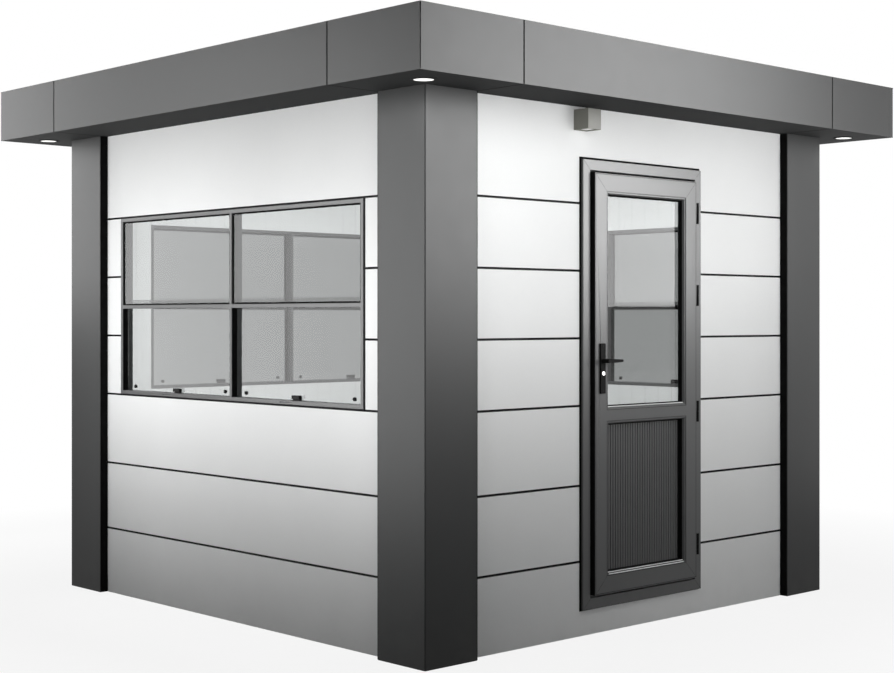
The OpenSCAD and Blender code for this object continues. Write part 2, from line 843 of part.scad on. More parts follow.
fascia_runs();
downlight_bezels();
downlight_lenses();
wall_light_housing();
wall_light_lenses();
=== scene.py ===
"""Looks of the guard booth: materials, trim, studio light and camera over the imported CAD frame."""

import math

import bmesh
import bpy
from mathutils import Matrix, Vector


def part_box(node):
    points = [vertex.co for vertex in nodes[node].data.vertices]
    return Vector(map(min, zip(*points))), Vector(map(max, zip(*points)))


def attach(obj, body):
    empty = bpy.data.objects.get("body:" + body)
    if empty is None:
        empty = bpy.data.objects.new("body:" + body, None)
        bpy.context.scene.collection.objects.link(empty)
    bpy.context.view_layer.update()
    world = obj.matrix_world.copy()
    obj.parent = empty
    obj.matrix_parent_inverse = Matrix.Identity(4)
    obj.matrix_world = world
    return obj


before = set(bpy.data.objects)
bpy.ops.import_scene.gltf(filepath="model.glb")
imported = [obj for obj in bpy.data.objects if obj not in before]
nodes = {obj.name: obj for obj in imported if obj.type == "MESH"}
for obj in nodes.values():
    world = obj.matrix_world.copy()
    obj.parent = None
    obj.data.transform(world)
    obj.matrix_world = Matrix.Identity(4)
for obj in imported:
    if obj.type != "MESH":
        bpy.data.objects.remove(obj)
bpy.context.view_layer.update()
scene = bpy.context.scene


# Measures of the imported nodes, in metres; the door wall faces -Y

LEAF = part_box("door_leaf_frame")
DOOR_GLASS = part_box("door_glass")
DOOR_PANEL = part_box("door_ribbed_panel")
DOOR_FRAME = (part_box("door_threshold")[0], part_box("door_head")[1])
HANDLE_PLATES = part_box("handle_plates")
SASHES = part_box("sash_panes")
ROOF_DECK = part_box("roof_deck")

LEAF_FACE = LEAF[0][1]
BEAD_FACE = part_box("door_glazing_beads")[0][1]
PANE_FACE = DOOR_GLASS[0][1]
FRAME_FACE = DOOR_FRAME[0][1]
REBATE_DEPTH = 0.020
REBATE_FLOOR = FRAME_FACE + REBATE_DEPTH

WALL_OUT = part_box("right_cladding")[1][0]
WALL_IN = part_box("right_wall")[0][0]
POST_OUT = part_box("corner_post_back_right")[1][0]
POST_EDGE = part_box("corner_post_back_right")[0][0]
POST_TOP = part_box("corner_post_back_right")[1][2]
EAVES_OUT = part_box("fascia_runs")[1][0]
EAVES_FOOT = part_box("fascia_runs")[0][2]
EAVES_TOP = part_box("fascia_runs")[1][2]
DOWNLIGHT_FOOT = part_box("downlight_bezels")[0][2]
BEZEL_RADIUS = 0.0555
DOWNLIGHT_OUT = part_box("downlight_bezels")[1][0] - BEZEL_RADIUS
WALL_LIGHT_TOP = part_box("wall_light_lenses")[1][2]

SIDES = ((-1, 0), (1, 0), (0, -1), (0, 1))


# Node material helpers

# Inputs and outputs of the mix node that are told apart only by number
MIX_AMOUNT = 0
COLOR_FIRST, COLOR_SECOND, COLOR_RESULT = 6, 7, 2
FLOAT_FIRST, FLOAT_SECOND, FLOAT_RESULT = 2, 3, 0

BLACK = (0, 0, 0, 1)
WHITE = (1, 1, 1, 1)


def tint(color, factor):
    return tuple(min(1.0, c * factor) for c in color[:3]) + (1.0,)


class Look:
    """A procedural material under construction, in object metres."""

    def __init__(self, name):
        self.mat = bpy.data.materials.new(name)
        self.mat.use_nodes = True
        self.tree = self.mat.node_tree
        self.tree.nodes.clear()
        self.out = self.add("ShaderNodeOutputMaterial")
        self.place = self.add("ShaderNodeTexCoord").outputs["Object"]

    def add(self, kind, settings=None, **inputs):
        node = self.tree.nodes.new(kind)
        for key, value in (settings or {}).items():
            setattr(node, key, value)
        for key, value in inputs.items():
            self.put(node, key.replace("_", " "), value)
        return node

    def put(self, node, socket, value):
        if isinstance(value, bpy.types.NodeSocket):
            self.tree.links.new(value, node.inputs[socket])
        else:
            node.inputs[socket].default_value = value

    def math(self, how, a, b=0.0, clamp=False):
        node = self.add("ShaderNodeMath", {"operation": how, "use_clamp": clamp})
        self.put(node, 0, a)
        self.put(node, 1, b)
        return node.outputs[0]

    def axes(self, vector=None):
        return self.add("ShaderNodeSeparateXYZ", Vector=vector or self.place).outputs

    def facing(self):
        """Components of the direction that a face looks in."""
        return self.axes(self.add("ShaderNodeNewGeometry").outputs["True Normal"])

    def stretched(self, x, y, z):
        return self.add("ShaderNodeMapping", Vector=self.place, Scale=(x, y, z)).outputs[0]

    def noise(self, scale, detail=2.0, rough=0.5, at=None):
        node = self.add("ShaderNodeTexNoise", Vector=at or self.place, Scale=scale, Detail=detail,
                        Roughness=rough)
        return node.outputs["Fac"]

    def cells(self, scale, output):
        return self.add("ShaderNodeTexVoronoi", Vector=self.place, Scale=scale).outputs[output]

    def span(self, value, low, high, start=0.3, end=0.7):
        """value between start and end brought to between low and high."""
        node = self.add("ShaderNodeMapRange", Value=value, From_Min=start, From_Max=end, To_Min=low,
                        To_Max=high)
        return node.outputs["Result"]

    def mix(self, amount, first, second):
        node = self.add("ShaderNodeMix", {"data_type": "RGBA"})
        self.put(node, MIX_AMOUNT, amount)
        self.put(node, COLOR_FIRST, first)
        self.put(node, COLOR_SECOND, second)
        return node.outputs[COLOR_RESULT]

    def choose(self, amount, first, second):
        node = self.add("ShaderNodeMix", {"data_type": "FLOAT"})
        self.put(node, MIX_AMOUNT, amount)
        self.put(node, FLOAT_FIRST, first)
        self.put(node, FLOAT_SECOND, second)
        return node.outputs[FLOAT_RESULT]

    def blend(self, amount, first, second):
        """Mix of two shaders."""
        node = self.add("ShaderNodeMixShader")
        self.put(node, 0, amount)
        self.tree.links.new(first.outputs[0], node.inputs[1])
        self.tree.links.new(second.outputs[0], node.inputs[2])
        return node

    def varied(self, noise, color, spread):
        """color made darker and lighter by up to spread."""
        return self.mix(self.span(noise, 0, 1), tint(color, 1 - spread), tint(color, 1 + spread))

    def bump(self, height, distance, strength=1.0, below=None):
        node = self.add("ShaderNodeBump", Height=height, Distance=distance, Strength=strength)
        if below:
            self.put(node, "Normal", below)
        return node.outputs["Normal"]

    def edges(self, radius):
        """1 along worn outer edges, 0 on flat faces."""
        soft = self.add("ShaderNodeBevel", {"samples": 4}, Radius=radius).outputs[0]
        flat = self.add("ShaderNodeNewGeometry").outputs["Normal"]
        dot = self.add("ShaderNodeVectorMath", {"operation": "DOT_PRODUCT"})
        self.put(dot, 0, soft)
        self.put(dot, 1, flat)
        return self.span(dot.outputs["Value"], low=1.0, high=0.0, start=0.80, end=0.98)

    def paint(self, color, rough, normal=None, **constants):
        shader = self.add("ShaderNodeBsdfPrincipled")
        self.put(shader, "Base Color", color)
        self.put(shader, "Roughness", rough)
        if normal:
            self.put(shader, "Normal", normal)
        for key, value in constants.items():
            self.put(shader, key.replace("_", " "), value)
        self.show(shader)
        return shader

    def show(self, shader):
        self.tree.links.new(shader.outputs[0], self.out.inputs[0])


# Materials

DUST = (0.20, 0.19, 0.175, 1)
DUST_HEIGHT = 0.35
SPECKLE_SHARE = 0.4
RUBBED_EDGE = 0.003
RUBBED_TONE = 2.0
SLOPED = 0.5            # share of a face's direction that counts as looking that way
UNDERSIDE_ROUGH = 0.8


def coated(name, color, rough, level, wear=0.0, soil=0.25, peel=0.00012, below=None, ends=None):
    """Powder-coated sheet: cloudy tone, orange peel, dust at the foot and paler rubbed edges.
    below is the factor of painted shade on faces that look down, ends the tone of faces that look up or
    down."""
    k = Look(name)
    cloudy = k.varied(k.noise(scale=1.1, detail=4), color, spread=0.045)
    speckled = k.varied(k.noise(scale=900, detail=2), color, spread=0.07)
    tone = k.mix(SPECKLE_SHARE, cloudy, speckled)
    foot = k.span(k.axes()["Z"], low=soil, high=0.0, start=0.0, end=DUST_HEIGHT)
    dust = k.math("MULTIPLY", foot, k.span(k.noise(scale=7, detail=6, rough=0.6), 0, 1), clamp=True)
    tone = k.mix(dust, tone, DUST)
    if wear:
        patches = k.span(k.noise(scale=25, detail=5, rough=0.7), low=0, high=wear, start=0.4, end=0.7)
        rub = k.math("MULTIPLY", k.edges(RUBBED_EDGE), patches, clamp=True)
        tone = k.mix(rub, tone, tint(color, RUBBED_TONE))
    gloss = k.span(k.noise(scale=14, detail=5, rough=0.65), low=rough - 0.012, high=rough + 0.018)
    slope = k.facing()["Z"]
    # Faces that look down take a painted shade: darker by below, and rougher.
    if below:
        shaded_underside = k.math("LESS_THAN", slope, -SLOPED)
        tone = k.mix(shaded_underside, tone, tint(color, below))
        gloss = k.math("MAXIMUM", gloss, k.math("MULTIPLY", shaded_underside, UNDERSIDE_ROUGH))
    if ends:
        tone = k.mix(k.math("GREATER_THAN", k.math("ABSOLUTE", slope), SLOPED), tone, ends)
    sheet = k.bump(k.noise(scale=1.2, detail=1), distance=0.0010, strength=0.10)
    normal = k.bump(k.noise(scale=700, detail=2), distance=peel, strength=0.6, below=sheet)
    k.paint(tone, gloss, normal, Specular_IOR_Level=level)
    return k.mat


BOARD_WIDTH = 0.1
GROOVE_SHARE = 0.035    # half a groove, as a share of a board
GROOVE_PAINTED_SHADE = (0.35, 0.35, 0.35, 1)
GROOVE_DARK = 0.42      # how much of that painted shade the bottom of a groove takes
DARK_FROM = WALL_IN + 0.017
DARK_SHEET = (0.012, 0.012, 0.013, 1)
WHOLE_BOARDS = 5.0      # length that brings every place on a wall above zero


def lining():
    """Wall core: dark sheet behind the open cladding joints, white grooved boards on the room side with
    painted shade in the grooves.
    """
    k = Look("wall_core")
    x, y, z = k.axes()
    reach = k.math("MAXIMUM", k.math("ABSOLUTE", x), k.math("ABSOLUTE", y))
    outside = k.math("GREATER_THAN", reach, DARK_FROM)
    side_wall = k.math("GREATER_THAN", k.math("ABSOLUTE", k.facing()["X"]), SLOPED)
    along = k.math("ADD", k.choose(side_wall, x, y), WHOLE_BOARDS)
    step = k.math("FRACT", k.math("MULTIPLY", along, 1 / BOARD_WIDTH))
    edge = k.math("MINIMUM", step, k.math("SUBTRACT", 1.0, step))
    board = k.span(edge, low=0.0, high=1.0, start=0.0, end=GROOVE_SHARE)
    cloudy = k.span(k.noise(scale=1.4, detail=4), 0, 1)
    white = k.mix(cloudy, (0.80, 0.81, 0.81, 1), (0.86, 0.87, 0.87, 1))
    # The grooves of the boards are painted darker: painted shade in the grooves.
    white = k.mix(k.span(board, low=GROOVE_DARK, high=0.0, start=0.0, end=1.0), white, GROOVE_PAINTED_SHADE)
    tone = k.mix(outside, white, DARK_SHEET)
    gloss = k.span(k.noise(scale=18, detail=5), low=0.42, high=0.56)
    grain = k.bump(k.noise(scale=600), distance=0.0001, strength=0.5)
    normal = k.bump(board, distance=0.0012, strength=0.5, below=grain)
    k.paint(tone, gloss, normal, Specular_IOR_Level=0.04)
    return k.mat


def panes(name, color):
    """Glass with a faintly cloudy tint; shadow and bounce rays pass straight through."""
    k = Look(name)
    tone = k.varied(k.noise(scale=2.5, detail=4, rough=0.6), color, spread=0.015)
    shader = k.paint(tone, 0.0, None, Transmission_Weight=1.0, IOR=1.33)
    path = k.add("ShaderNodeLightPath").outputs
    clear = k.add("ShaderNodeBsdfTransparent", Color=color)
    k.show(k.blend(k.math("MAXIMUM", path["Is Shadow Ray"], path["Is Diffuse Ray"]), shader, clear))
    return k.mat


def soft_black(name, color, rough, level, grain, depth):
    """Rubber, moulded plastic and black coat: fine grain, slightly chalky patches."""
    k = Look(name)
    chalky = k.span(k.noise(scale=30, detail=5, rough=0.6), 0, 1)
    tone = k.mix(chalky, tint(color, 0.75), tint(color, 1.5))
    gloss = k.span(k.noise(scale=80, detail=4), low=rough - 0.08, high=rough + 0.08)
    normal = k.bump(k.noise(scale=grain, detail=3), distance=depth, strength=0.6)
    k.paint(tone, gloss, normal, Specular_IOR_Level=level)
    return k.mat


def steel():
    """Lock cylinder: brushed, with short strokes."""
    k = Look("bright_steel")
    brush = k.noise(scale=1, detail=4, rough=0.6, at=k.stretched(60, 60, 2500))
    tone = k.mix(brush, (0.62, 0.62, 0.61, 1), (0.82, 0.82, 0.80, 1))
    normal = k.bump(brush, distance=0.00005, strength=0.5)
    k.paint(tone, k.span(brush, low=0.18, high=0.34), normal, Metallic=1.0)
    return k.mat


def membrane():
    """Roofing sheet: mineral grain and dried puddle marks."""
    k = Look("roof_membrane")
    tide = k.span(k.noise(scale=1.6, detail=6, rough=0.62), low=0, high=1, start=0.42, end=0.6)
    grain = k.noise(scale=420, detail=3, rough=0.7)
    tone = k.mix(tide, (0.050, 0.050, 0.052, 1), (0.085, 0.083, 0.080, 1))
    tone = k.mix(k.span(grain, low=0, high=0.5), tone, (0.13, 0.13, 0.125, 1))
    gloss = k.span(grain, low=0.75, high=0.95)
    k.paint(tone, gloss, k.bump(grain, distance=0.0006, strength=0.8), Specular_IOR_Level=0.2)
    return k.mat


def lamp_lens(name, strength, wall_strength):
    """Opal lens, lit from inside, with a fine prism grain; the wall light is turned down."""
    k = Look(name)
    prism_grain = k.cells(260.0, "Distance")
    deep = k.span(prism_grain, low=0, high=1, start=0.0, end=0.6)
    glow = k.mix(deep, (1.0, 1.0, 0.98, 1), (0.93, 0.93, 0.90, 1))
    gloss = k.span(prism_grain, low=0.25, high=0.4)
    shader = k.paint(glow, gloss, k.bump(prism_grain, distance=0.0003, strength=0.4))
    lit = k.span(k.axes()["Z"], wall_strength, strength, start=WALL_LIGHT_TOP + 0.004, end=DOWNLIGHT_FOOT)
    k.put(shader, "Emission Color", glow)
    k.put(shader, "Emission Strength", lit)
    return k.mat


def vinyl():
    """Floor sheet: grey chips and trodden patches."""
    k = Look("floor")
    chips = k.axes(k.cells(140.0, "Color"))["X"]
    fleck = k.span(chips, low=0, high=1, start=0.2, end=0.9)
    tone = k.mix(fleck, (0.24, 0.24, 0.235, 1), (0.36, 0.36, 0.35, 1))
    trodden = k.span(k.noise(scale=1.8, detail=5), low=0, high=0.35)
    tone = k.mix(trodden, tone, (0.20, 0.19, 0.18, 1))
    gloss = k.span(k.noise(scale=6, detail=5), low=0.4, high=0.62)
    k.paint(tone, gloss, k.bump(k.noise(scale=350), distance=0.0002, strength=0.5), Specular_IOR_Level=0.4)
    return k.mat


LOOKS = {
    # dark_coated_metal paints its undersides darker, a painted shade under the eaves
    "dark_coated_metal": coated("dark_coated_metal", (0.035, 0.036, 0.036), rough=0.37, level=0.08,
                                wear=0.22, soil=0.06, below=0.5),
    "white_panel": coated("white_panel", (0.86, 0.868, 0.866), rough=0.58, level=0.05, soil=0.05,
                          peel=0.00008, ends=(0.02, 0.02, 0.02, 1)),
    "frame_coated_metal": coated("frame_coated_metal", (0.085, 0.086, 0.087), rough=0.33, level=0.145,
                                 wear=0.25, soil=0.12),
    "lamp_coated_metal": coated("lamp_coated_metal", (0.19, 0.19, 0.168), rough=0.45, level=0.10,
                                wear=0.3),
    "base_steel": coated("base_steel", (0.10, 0.10, 0.105), rough=0.55, level=0.3, wear=0.4, soil=0.6),
    "wall_core": lining(),
    "glass": panes("glass", (0.480, 0.490, 0.488, 1)),
    "black_rubber": soft_black("black_rubber", (0.005, 0.005, 0.005), rough=0.75, level=0.02,
                               grain=500, depth=0.0002),
    "black_plastic": soft_black("black_plastic", (0.010, 0.010, 0.010), rough=0.50, level=0.03,
                                grain=900, depth=0.0001),
    "black_metal": soft_black("black_metal", (0.006, 0.006, 0.006), rough=0.40, level=0.015,
                              grain=1200, depth=0.00006),
    "bright_steel": steel(),
    "roof_membrane": membrane(),
    "light_lens": lamp_lens("light_lens", strength=1.1, wall_strength=0.25),
    "floor": vinyl(),
}


# CAD nodes: materials, and small rounded edges on the sharp-cornered ones

EDGE = {
    "cladding": 0.0007, "window_frame": 0.0010, "door_head": 0.0010, "jamb": 0.0010, "threshold": 0.0010,
    "leaf_frame": 0.0012, "glazing_beads": 0.0006, "ribbed_panel": 0.0006, "corner_post": 0.0010,
    "wall_light_housing": 0.0020, "fascia_runs": 0.0008, "sash_latches": 0.0015, "base_frame": 0.0015,
}
EDGE_ANGLE = math.radians(25)
WELD_GAP = 0.00002


def rounded(obj, width):
    weld = obj.modifiers.new("weld", "WELD")
    weld.merge_threshold = WELD_GAP
    bevel = obj.modifiers.new("bevel", "BEVEL")
    bevel.width = width
    bevel.segments = 2
    bevel.limit_method = "ANGLE"
    bevel.angle_limit = EDGE_ANGLE
    obj.modifiers.new("normals", "WEIGHTED_NORMAL").keep_sharp = False


for name, obj in nodes.items():
    slot = obj.data.materials[0].name
    obj.data.materials[0] = LOOKS[slot]
    for part, width in EDGE.items():
        if part in name:
            rounded(obj, width)


# Shapes of the added trim

def piece(name, verts, faces, body, slot, smooth=False):
    mesh = bpy.data.meshes.new(name)
    mesh.from_pydata(verts, [], faces)
    shape = bmesh.new()
    shape.from_mesh(mesh)
    bmesh.ops.recalc_face_normals(shape, faces=shape.faces)
    shape.to_mesh(mesh)
    shape.free()
    mesh.polygons.foreach_set("use_smooth", [smooth] * len(mesh.polygons))
    mesh.materials.append(LOOKS[slot])
    obj = bpy.data.objects.new(name, mesh)
    scene.collection.objects.link(obj)
    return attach(obj, body)


def merged(shapes):
    verts, faces = [], []
    for v, f in shapes:
        faces += [tuple(i + len(verts) for i in face) for face in f]
        verts += v
    return verts, faces


def ring(box, margin, section, raised=0.0):
    """Closed frame round a box of the door wall, grown by margin and with its foot raised;
    section is (inset, y) points."""
    low, high = box
    left, right = low[0] - margin, high[0] + margin
    foot, top = low[2] - margin + raised, high[2] + margin
    corners = ((left, 1, foot, 1), (right, -1, foot, 1), (right, -1, top, -1), (left, 1, top, -1))
    verts, faces, n = [], [], len(section)
    for x, to_right, z, up in corners:
        verts += [(x + to_right * inset, y, z + up * inset) for inset, y in section]
    for c in range(4):
        here, there = c * n, (c + 1) % 4 * n
        for i in range(n):
            j = (i + 1) % n
            faces.append((here + i, here + j, there + j, there + i))
    return verts, faces


def swept(first, last, cap=None):
    """Bar between two outlines; cap gives the faces that close an outline with an inner corner."""
    n = len(first)
    cap = cap or [tuple(range(n))]
    sides = [(i, (i + 1) % n, n + (i + 1) % n, n + i) for i in range(n)]
    return first + last, sides + cap + [tuple(n + i for i in face) for face in cap]


def strip(half, z, section):
    """Straight strip on the door wall from -half to half; section is (rise above z, y) points."""
    first, last = ([(x, y, z + rise) for rise, y in section] for x in (-half, half))
    return swept(first, last)


def lathe(profile, centre, out, count):
    """Turned button; profile is (radius, height along out) from the rim to the centre."""
    side = (0, 0, 1)
    across = (out[1], -out[0], 0)
    verts, faces = [], []
    for radius, height in profile:
        for i in range(count):
            turn = 2 * math.pi * i / count
            c, s = radius * math.cos(turn), radius * math.sin(turn)
            verts.append(tuple(centre[j] + out[j] * height + across[j] * c + side[j] * s for j in range(3)))
    last = (len(profile) - 1) * count
    for here in range(0, last, count):
        for i in range(count):
            j = (i + 1) % count
            faces.append((here + i, here + j, here + count + j, here + count + i))
    faces.append(tuple(range(count)))
    faces.append(tuple(last + i for i in range(count)))
    return verts, faces


def bulb(inset, y, width, height, steps=8):
    """Half-round rubber section lying on a face at y and standing out towards -Y."""
    turns = [i * math.pi / steps for i in range(steps + 1)]
    return [(inset + width * (0.5 - 0.5 * math.cos(a)), y - height * math.sin(a)) for a in turns]


LINE_PROUD = 0.0002     # joint lines stand this far out of the face, so that they show
LINE_DEPTH = 0.0008
MITRE_WIDTH = 0.0006
MITRE_INSET = 0.0015


def mitres(box, length, face):
    """Fine joint lines running in at 45 degrees from the four corners of a box of the door wall."""
    (left, _, foot), (right, _, top) = box
    y, w, lines = face - LINE_PROUD, MITRE_WIDTH, []
    for x, sx in ((left, -1), (right, 1)):
        for z, sz in ((foot, 1), (top, -1)):
            x0, z0 = x - sx * MITRE_INSET, z + sz * MITRE_INSET
            x1, z1 = x0 - sx * length, z0 + sz * length
            line = ((x0 - sx * w, z0), (x0, z0 + sz * w), (x1, z1 + sz * w), (x1 - sx * w, z1))
            lines.append(swept([(a, y, b) for a, b in line], [(a, y + LINE_DEPTH, b) for a, b in line]))
    return lines


# Door trim

OPENING_HALF = DOOR_GLASS[1][0]
LEAF_MITRE = 0.083
FRAME_MITRE = 0.046
SEAL_GAP = 0.0115       # outer edge of the seal beyond the leaf
SEAL_RAISED = 0.0240    # and its foot above that line, on the threshold
SEAL_INSET = 0.0005
SEAL_WIDTH, SEAL_HEIGHT = 0.021, 0.0035
JOINT_WIDTH = 0.0020
JOINT_MARGIN = 0.0035
# A black sheet on the side faces of the leaf paints the shade of the gap round the leaf.
SIDE_SHADE_THICK = 0.0004
SIDE_SHADE_PROUD = 0.0005
SIDE_SHADE_FRONT, SIDE_SHADE_BACK = LEAF_FACE + 0.0014, LEAF_FACE + 0.0340
SEALANT_REACH = 0.0065
# White strips at the bead foots paint the highlight of the sloped bead tops.
HIGHLIGHT_STRIP_HALF = OPENING_HALF - 0.0135
INNER_HIGHLIGHT_FACE, INNER_HIGHLIGHT_RISE = BEAD_FACE + 0.0044, 0.0094
OUTER_HIGHLIGHT_FACE, OUTER_HIGHLIGHT_RISE = BEAD_FACE - 0.0018, 0.0010

# Sections as (inset, distance out of the face)
GLAZING_RUBBER = ((0.0108, 0.0190), (0.0120, 0.0193), (0.0140, 0.0058), (0.0176, 0.0052), (0.0176, 0.0003),
                  (0.0128, 0.0035))
SEALANT = ((0.0, 0.0001), (0.0, 0.0008), (0.0055, 0.0014), (0.0058, 0.0090), (0.0063, 0.0090),
           (0.0063, 0.0001))
HEAD_DRIP = ((0.0002, 0.0001), (0.0112, 0.0001), (0.0112, 0.0050), (0.0002, 0.0080))
HIGHLIGHT_STRIP = ((0.0, 0.0), (0.0036, -0.0018), (0.0036, -0.0050), (0.0, -0.0025))


def on_face(section, face, inset=0.0):
    """Section as (inset, y) points on a face of the door wall."""
    return [(inset + across, face - proud) for across, proud in section]


def door_trim():
    """Rubbers, seals and joint lines of the door and its frame, with painted shade on the leaf edges and
    sides and white strips that paint a highlight at the bead foots.
    """
    openings = (DOOR_GLASS, DOOR_PANEL)
    rubber = on_face(GLAZING_RUBBER, PANE_FACE)
    rubbers = merged(ring(box, 0.0, rubber) for box in openings)
    piece("door_glazing_rubbers", *rubbers, "door", "black_rubber")

    seal = bulb(SEAL_INSET, REBATE_FLOOR, SEAL_WIDTH, SEAL_HEIGHT)
    piece("door_frame_seal", *ring(LEAF, SEAL_GAP, seal, SEAL_RAISED), "booth", "black_rubber", True)

    front, back = LEAF_FACE - LINE_PROUD, LEAF_FACE - LINE_PROUD + LINE_DEPTH
    joint = [(0.0, front), (JOINT_WIDTH, front), (JOINT_WIDTH, back), (0.0, back)]
    lines = mitres(LEAF, LEAF_MITRE, LEAF_FACE)
    lines += [ring(box, JOINT_MARGIN, joint) for box in openings]
    # A dark line just inside the leaf edge paints the shade of the rolled flange edge.
    lines.append(ring(LEAF, -JOINT_MARGIN, joint))
    piece("door_leaf_joints_and_edge_shade", *merged(lines), "door", "black_rubber")

    # Painted shade: black sheet over the side faces of the leaf
    side_shade = [(0.0, SIDE_SHADE_FRONT), (SIDE_SHADE_THICK, SIDE_SHADE_FRONT), (SIDE_SHADE_THICK, SIDE_SHADE_BACK), (0.0, SIDE_SHADE_BACK)]
    piece("door_leaf_painted_side_shade", *ring(LEAF, SIDE_SHADE_PROUD, side_shade), "door", "black_rubber")

    corners = mitres(DOOR_FRAME, FRAME_MITRE, FRAME_FACE)
    piece("door_frame_mitres", *merged(corners), "booth", "black_rubber")

    drip = strip(DOOR_FRAME[1][0] + SEALANT_REACH, DOOR_FRAME[1][2], on_face(HEAD_DRIP, -WALL_OUT))
    sealant = [ring(DOOR_FRAME, SEALANT_REACH, on_face(SEALANT, -WALL_OUT)), drip]
    piece("door_frame_sealant", *merged(sealant), "booth", "black_rubber")

    # White strips that paint a highlight along the foot of each glazing and panel bead
    inner = on_face(HIGHLIGHT_STRIP, INNER_HIGHLIGHT_FACE, INNER_HIGHLIGHT_RISE)
    outer = on_face(HIGHLIGHT_STRIP, OUTER_HIGHLIGHT_FACE, OUTER_HIGHLIGHT_RISE)
    glass_foot, panel_foot = DOOR_GLASS[0][2], DOOR_PANEL[0][2]
    highlight_strips = [strip(HIGHLIGHT_STRIP_HALF, z, section)
             for z, section in ((glass_foot, inner), (panel_foot, inner), (panel_foot, outer))]
    piece("door_bead_painted_highlights", *merged(highlight_strips), "door", "white_panel")


SCREW_HEAD = ((0.0038, 0.0), (0.0038, 0.0003), (0.0030, 0.0011), (0.0012, 0.0014), (0.0010, 0.0006))
SCREW_INSET = 0.014


def handle_trim():
    """Two screws in each handle plate."""
    low, high = HANDLE_PLATES
    middle = (low[0] + high[0]) / 2
    screws = [lathe(SCREW_HEAD, (middle, y, z), (0, out, 0), count=16)
              for y, out in ((low[1], -1), (high[1], 1))
              for z in (high[2] - SCREW_INSET, low[2] + SCREW_INSET)]
    piece("handle_plate_screws", *merged(screws), "door", "black_plastic", True)


# Wall, window and roof trim

FIXING = ((0.009, 0.0), (0.009, 0.0030), (0.0078, 0.0045), (0.0035, 0.0050), (0.0025, 0.0034))
SASH_THICK = 0.006
SASH_OUT = SASHES[1][0]
SASH_EDGES = (0.009, -SASHES[0][1])     # from the middle of the window
FIXING_INSET = 0.078
FIXING_HEIGHT = SASHES[0][2] + 0.022


def sash_knobs():
    """Round glass fixings in the lower corners of each sash pane, both faces."""
    near, far = SASH_EDGES[0] + FIXING_INSET, SASH_EDGES[1] - FIXING_INSET
    shapes = []
    for ox, oy in ((-1, 0), (0, 1), (1, 0)):
        for along in (-far, -near, near, far):
            for face, sign in ((SASH_OUT, 1), (SASH_OUT - SASH_THICK, -1)):
                at = (ox * face, along, FIXING_HEIGHT) if ox else (along, oy * face, FIXING_HEIGHT)
                shapes.append(lathe(FIXING, at, (sign * ox, sign * oy, 0), count=20))
    piece("sash_glass_fixings", *merged(shapes), "booth", "black_plastic", True)


LAP = ((-0.05, 0.0), (-0.048, 0.0018), (-0.02, 0.0030), (0.02, 0.0032), (0.046, 0.0028), (0.05, 0.0))
LAP_HALF = ROOF_DECK[1][0] - 0.009
SHEET_WIDTH = 0.86


def roof_laps():
    """Welded laps of the roofing sheet, run across the roof deck."""
    top, laps = ROOF_DECK[1][2], []
    for y in (-SHEET_WIDTH, 0.0, SHEET_WIDTH):
        first, last = ([(x, y + across, top + up) for across, up in LAP] for x in (-LAP_HALF, LAP_HALF))
        laps.append(swept(first, last))
    piece("roof_membrane_laps", *merged(laps), "booth", "roof_membrane")


def on_side(sx, sy, out, along, z):
    """Place on the side of the booth that sx or sy names."""
    return (sx * out, along, z) if sx else (along, sy * out, z)


GASKET_HALF = 0.0038
# Outline of a gasket as (out, z): down the fascia, in under the soffit and back
GASKET = ((EAVES_OUT + 0.0004, EAVES_TOP - 0.0005), (EAVES_OUT + 0.0004, EAVES_FOOT - 0.0004),
          (WALL_OUT + 0.0020, EAVES_FOOT - 0.0004), (WALL_OUT + 0.0020, EAVES_FOOT + 0.0010),
          (EAVES_OUT - 0.0015, EAVES_FOOT + 0.0010), (EAVES_OUT - 0.0015, EAVES_TOP - 0.0005))
GASKET_CAP = [(0, 1, 4, 5), (1, 2, 3, 4)]


def fascia_gaskets():
    """Black gaskets in the joints between the eaves cassettes, on the face and under the soffit."""
    shapes = []
    for sx, sy in SIDES:
        for end in (-POST_EDGE, POST_EDGE):
            first, last = ([on_side(sx, sy, out, end + w, z) for out, z in GASKET]
                           for w in (-GASKET_HALF, GASKET_HALF))
            shapes.append(swept(first, last, GASKET_CAP))
    piece("fascia_joint_gaskets", *merged(shapes), "booth", "black_rubber")


# Section of a closing strip as (out, thickness)
CLOSING = ((WALL_OUT + 0.0005, 0.0), (WALL_OUT + 0.0005, 0.0012), (WALL_OUT + 0.0015, 0.0018),
           (POST_OUT - 0.0025, 0.0018), (POST_OUT - 0.0015, 0.0012), (POST_OUT - 0.0015, 0.0))
CLOSING_ENDS = 0.002


def post_strips():
    """Black closing strips on the faces of the posts that meet the cladding."""
    shapes = []
    for sx, sy in SIDES:
        for end in (-1, 1):
            first, last = ([on_side(sx, sy, out, end * (POST_EDGE - thick), z) for out, thick in CLOSING]
                           for z in (CLOSING_ENDS, POST_TOP - CLOSING_ENDS))
            shapes.append(swept(first, last))
    piece("post_closing_strips", *merged(shapes), "booth", "black_rubber")


door_trim()
post_strips()
fascia_gaskets()
handle_trim()
sash_knobs()
roof_laps()


# Studio: floor, world, lamps and camera

FLOOR_HALF = 30.0
FLOOR_LEVEL = -0.0006
SHADE_FROM, SHADE_TO = 2.2, 4.8     # from the middle; the floor is pure white beyond
WHITE_SHARE = 0.86                  # white share of the floor near the booth, the rest takes shadow
BOUNCE_LIGHT = 0.02                 # world light on the object itself


def background(tree, path):
    """1 for rays that show the backdrop itself."""
    direct, shown = (tree.nodes.new("ShaderNodeMath") for _ in range(2))
    direct.operation = shown.operation = "MAXIMUM"
    tree.links.new(path.outputs["Is Camera Ray"], direct.inputs[0])
    tree.links.new(path.outputs["Is Glossy Ray"], direct.inputs[1])
    tree.links.new(direct.outputs[0], shown.inputs[0])
    tree.links.new(path.outputs["Is Transmission Ray"], shown.inputs[1])
    return shown.outputs[0]


